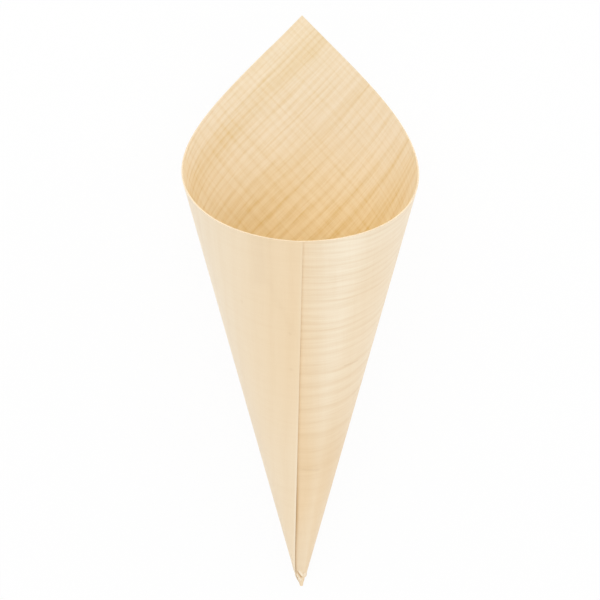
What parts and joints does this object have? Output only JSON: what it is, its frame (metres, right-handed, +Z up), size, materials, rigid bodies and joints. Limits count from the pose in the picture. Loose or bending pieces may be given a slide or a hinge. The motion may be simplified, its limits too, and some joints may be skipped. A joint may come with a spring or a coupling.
{
  "type": "wooden food cone",
  "caption": "Disposable food cone rolled from one sheet of thin wood veneer, with a glued lap seam down the front, a blunt tip and a mouth that rises to a sharp peak at the back.",
  "frame": {"origin": "centre of the bounding box's base, on the surface that the cone lies on", "axes": "+Y from the tip to the mouth, along the flat side that the cone lies on, with the mouth's peak a few degrees of turn beside it; +Z up, with the lap seam facing up; +X to the right when looking along +Y"},
  "size_m": [0.069, 0.1832, 0.0627],
  "materials": {
    "veneer": "bare, matt, pale wood with fine straight grain"
  },
  "bodies": {
    "root": {"rolled_veneer": "veneer"}
  },
  "joints": []
}
